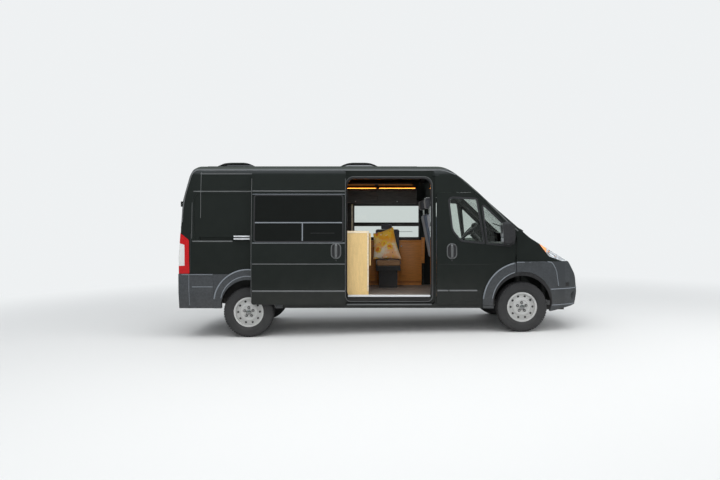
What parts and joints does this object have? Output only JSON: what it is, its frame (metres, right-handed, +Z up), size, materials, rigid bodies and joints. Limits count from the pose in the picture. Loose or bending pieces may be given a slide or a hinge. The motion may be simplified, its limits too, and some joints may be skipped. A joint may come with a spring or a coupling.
{
  "type": "camper van",
  "caption": "High-roof camper van with hinged cab and rear doors, an open sliding side door, a fitted interior, steered front wheels and free-turning wheels.",
  "frame": {"origin": "on the ground under the middle of the van", "axes": "+X towards the front of the van, +Y to its left, +Z up"},
  "size_m": [5.9944, 2.6, 2.6697],
  "materials": {
    "black_paint": "gloss",
    "grey_plastic": "grained",
    "black_plastic": "grained",
    "tinted_glass": "polished",
    "clear_lens": "polished",
    "red_lens": "gloss",
    "smoked_cover": "gloss",
    "wheel_silver": "satin",
    "tyre": "matt",
    "chassis_steel": "satin",
    "cast_metal": "as cast",
    "engine_metal": "as cast",
    "seat_fabric": "woven",
    "bench_fabric": "woven",
    "pillow_fabric": "printed",
    "mattress_fabric": "woven",
    "pale_birch": "lacquered",
    "warm_wood": "lacquered",
    "charcoal_board": "laminated",
    "floor_board": "satin"
  },
  "bodies": {
    "van_body": {"side_panel_left": "black_paint", "side_panel_right": "black_paint", "roof": "black_paint", "front_end": "black_paint", "front_bumper": "grey_plastic", "grille": "black_plastic", "headlamps": "clear_lens", "tail_lamps": "red_lens", "rear_bumper": "grey_plastic", "side_cladding": "grey_plastic", "windscreen": "tinted_glass", "side_windows": "tinted_glass", "sliding_door": "black_paint", "door_carriers": "chassis_steel", "floor": "floor_board", "front_subframe": "chassis_steel", "engine": "engine_metal", "radiator": "engine_metal", "fuel_tank": "black_plastic", "rear_axle": "chassis_steel", "dashboard": "black_plastic", "cab_seats": "seat_fabric", "seat_frames": "black_plastic", "bench_cushion": "bench_fabric", "pillow": "pillow_fabric", "kitchen_cabinet": "pale_birch", "wall_cabinet": "warm_wood", "overhead_lockers": "charcoal_board", "bed_platform": "pale_birch", "mattress": "mattress_fabric", "roof_fans": "smoked_cover"},
    "front_door_right": {"front_door_right": "black_paint", "front_door_glass_right": "tinted_glass", "door_trim_right": "grey_plastic", "mirror_right": "black_plastic"},
    "rear_door_right": {"rear_door_right": "black_paint", "rear_door_glass_right": "tinted_glass"},
    "steering_right": {"knuckle_right": "cast_metal"},
    "wheel_front_right": {"rim_front_right": "wheel_silver", "tyre_front_right": "tyre"},
    "wheel_rear_right": {"rim_rear_right": "wheel_silver", "tyre_rear_right": "tyre"},
    "front_door_left": {"front_door_left": "black_paint", "front_door_glass_left": "tinted_glass", "door_trim_left": "grey_plastic", "mirror_left": "black_plastic"},
    "rear_door_left": {"rear_door_left": "black_paint", "rear_door_glass_left": "tinted_glass"},
    "steering_left": {"knuckle_left": "cast_metal"},
    "wheel_front_left": {"rim_front_left": "wheel_silver", "tyre_front_left": "tyre"},
    "wheel_rear_left": {"rim_rear_left": "wheel_silver", "tyre_rear_left": "tyre"},
    "hood": {"hood": "black_paint"},
    "steering_wheel": {"steering_wheel": "black_plastic"}
  },
  "joints": [
    {"name": "front_door_right_hinge", "type": "hinge", "parent": "van_body", "child": "front_door_right", "pos_m": [1.9746, -1.055, 1.23721], "axis": [0.0192, 0, 0.9998], "range_deg": [0, 68]},
    {"name": "rear_door_right_hinge", "type": "hinge", "parent": "van_body", "child": "rear_door_right", "pos_m": [-2.98323, -0.85, 1.50244], "axis": [0.0192, 0, 0.9998], "range_deg": [0, 180]},
    {"name": "front_door_left_hinge", "type": "hinge", "parent": "van_body", "child": "front_door_left", "pos_m": [1.9746, 1.055, 1.23721], "axis": [-0.0192, 0, -0.9998], "range_deg": [0, 68]},
    {"name": "rear_door_left_hinge", "type": "hinge", "parent": "van_body", "child": "rear_door_left", "pos_m": [-2.98323, 0.85, 1.50244], "axis": [-0.0192, 0, -0.9998], "range_deg": [0, 180]},
    {"name": "hood_hinge", "type": "hinge", "parent": "van_body", "child": "hood", "pos_m": [2.36206, 0, 1.3618], "axis": [0, -1, 0], "range_deg": [0, 52]},
    {"name": "steer_left", "type": "hinge", "parent": "van_body", "child": "steering_left", "pos_m": [2.04795, 0.8, 0.21103], "axis": [0.0189, -0.1736, 0.9846], "range_deg": [-33, 33]},
    {"name": "wheel_front_left_spin", "type": "hinge", "parent": "steering_left", "child": "wheel_front_left", "pos_m": [2.051, 0.905, 0.37], "axis": [0, 1, 0], "continuous": true},
    {"name": "wheel_rear_left_spin", "type": "hinge", "parent": "van_body", "child": "wheel_rear_left", "pos_m": [-1.984, 0.895, 0.37], "axis": [0, 1, 0], "continuous": true},
    {"name": "steer_right", "type": "hinge", "parent": "van_body", "child": "steering_right", "pos_m": [2.04795, -0.8, 0.21103], "axis": [0.0189, 0.1736, 0.9846], "range_deg": [-33, 33]},
    {"name": "wheel_front_right_spin", "type": "hinge", "parent": "steering_right", "child": "wheel_front_right", "pos_m": [2.051, -0.905, 0.37], "axis": [0, 1, 0], "continuous": true},
    {"name": "wheel_rear_right_spin", "type": "hinge", "parent": "van_body", "child": "wheel_rear_right", "pos_m": [-1.984, -0.895, 0.37], "axis": [0, 1, 0], "continuous": true},
    {"name": "steering_wheel_turn", "type": "hinge", "parent": "van_body", "child": "steering_wheel", "pos_m": [1.53936, 0.45, 1.48961], "axis": [-0.6934, 0, 0.7206], "range_deg": [-500, 500]}
  ],
  "couplings": [
    {"joint": "steer_right", "follows": "steer_left", "ratio": 1},
    {"joint": "steering_wheel_turn", "follows": "steer_left", "ratio": 15}
  ]
}
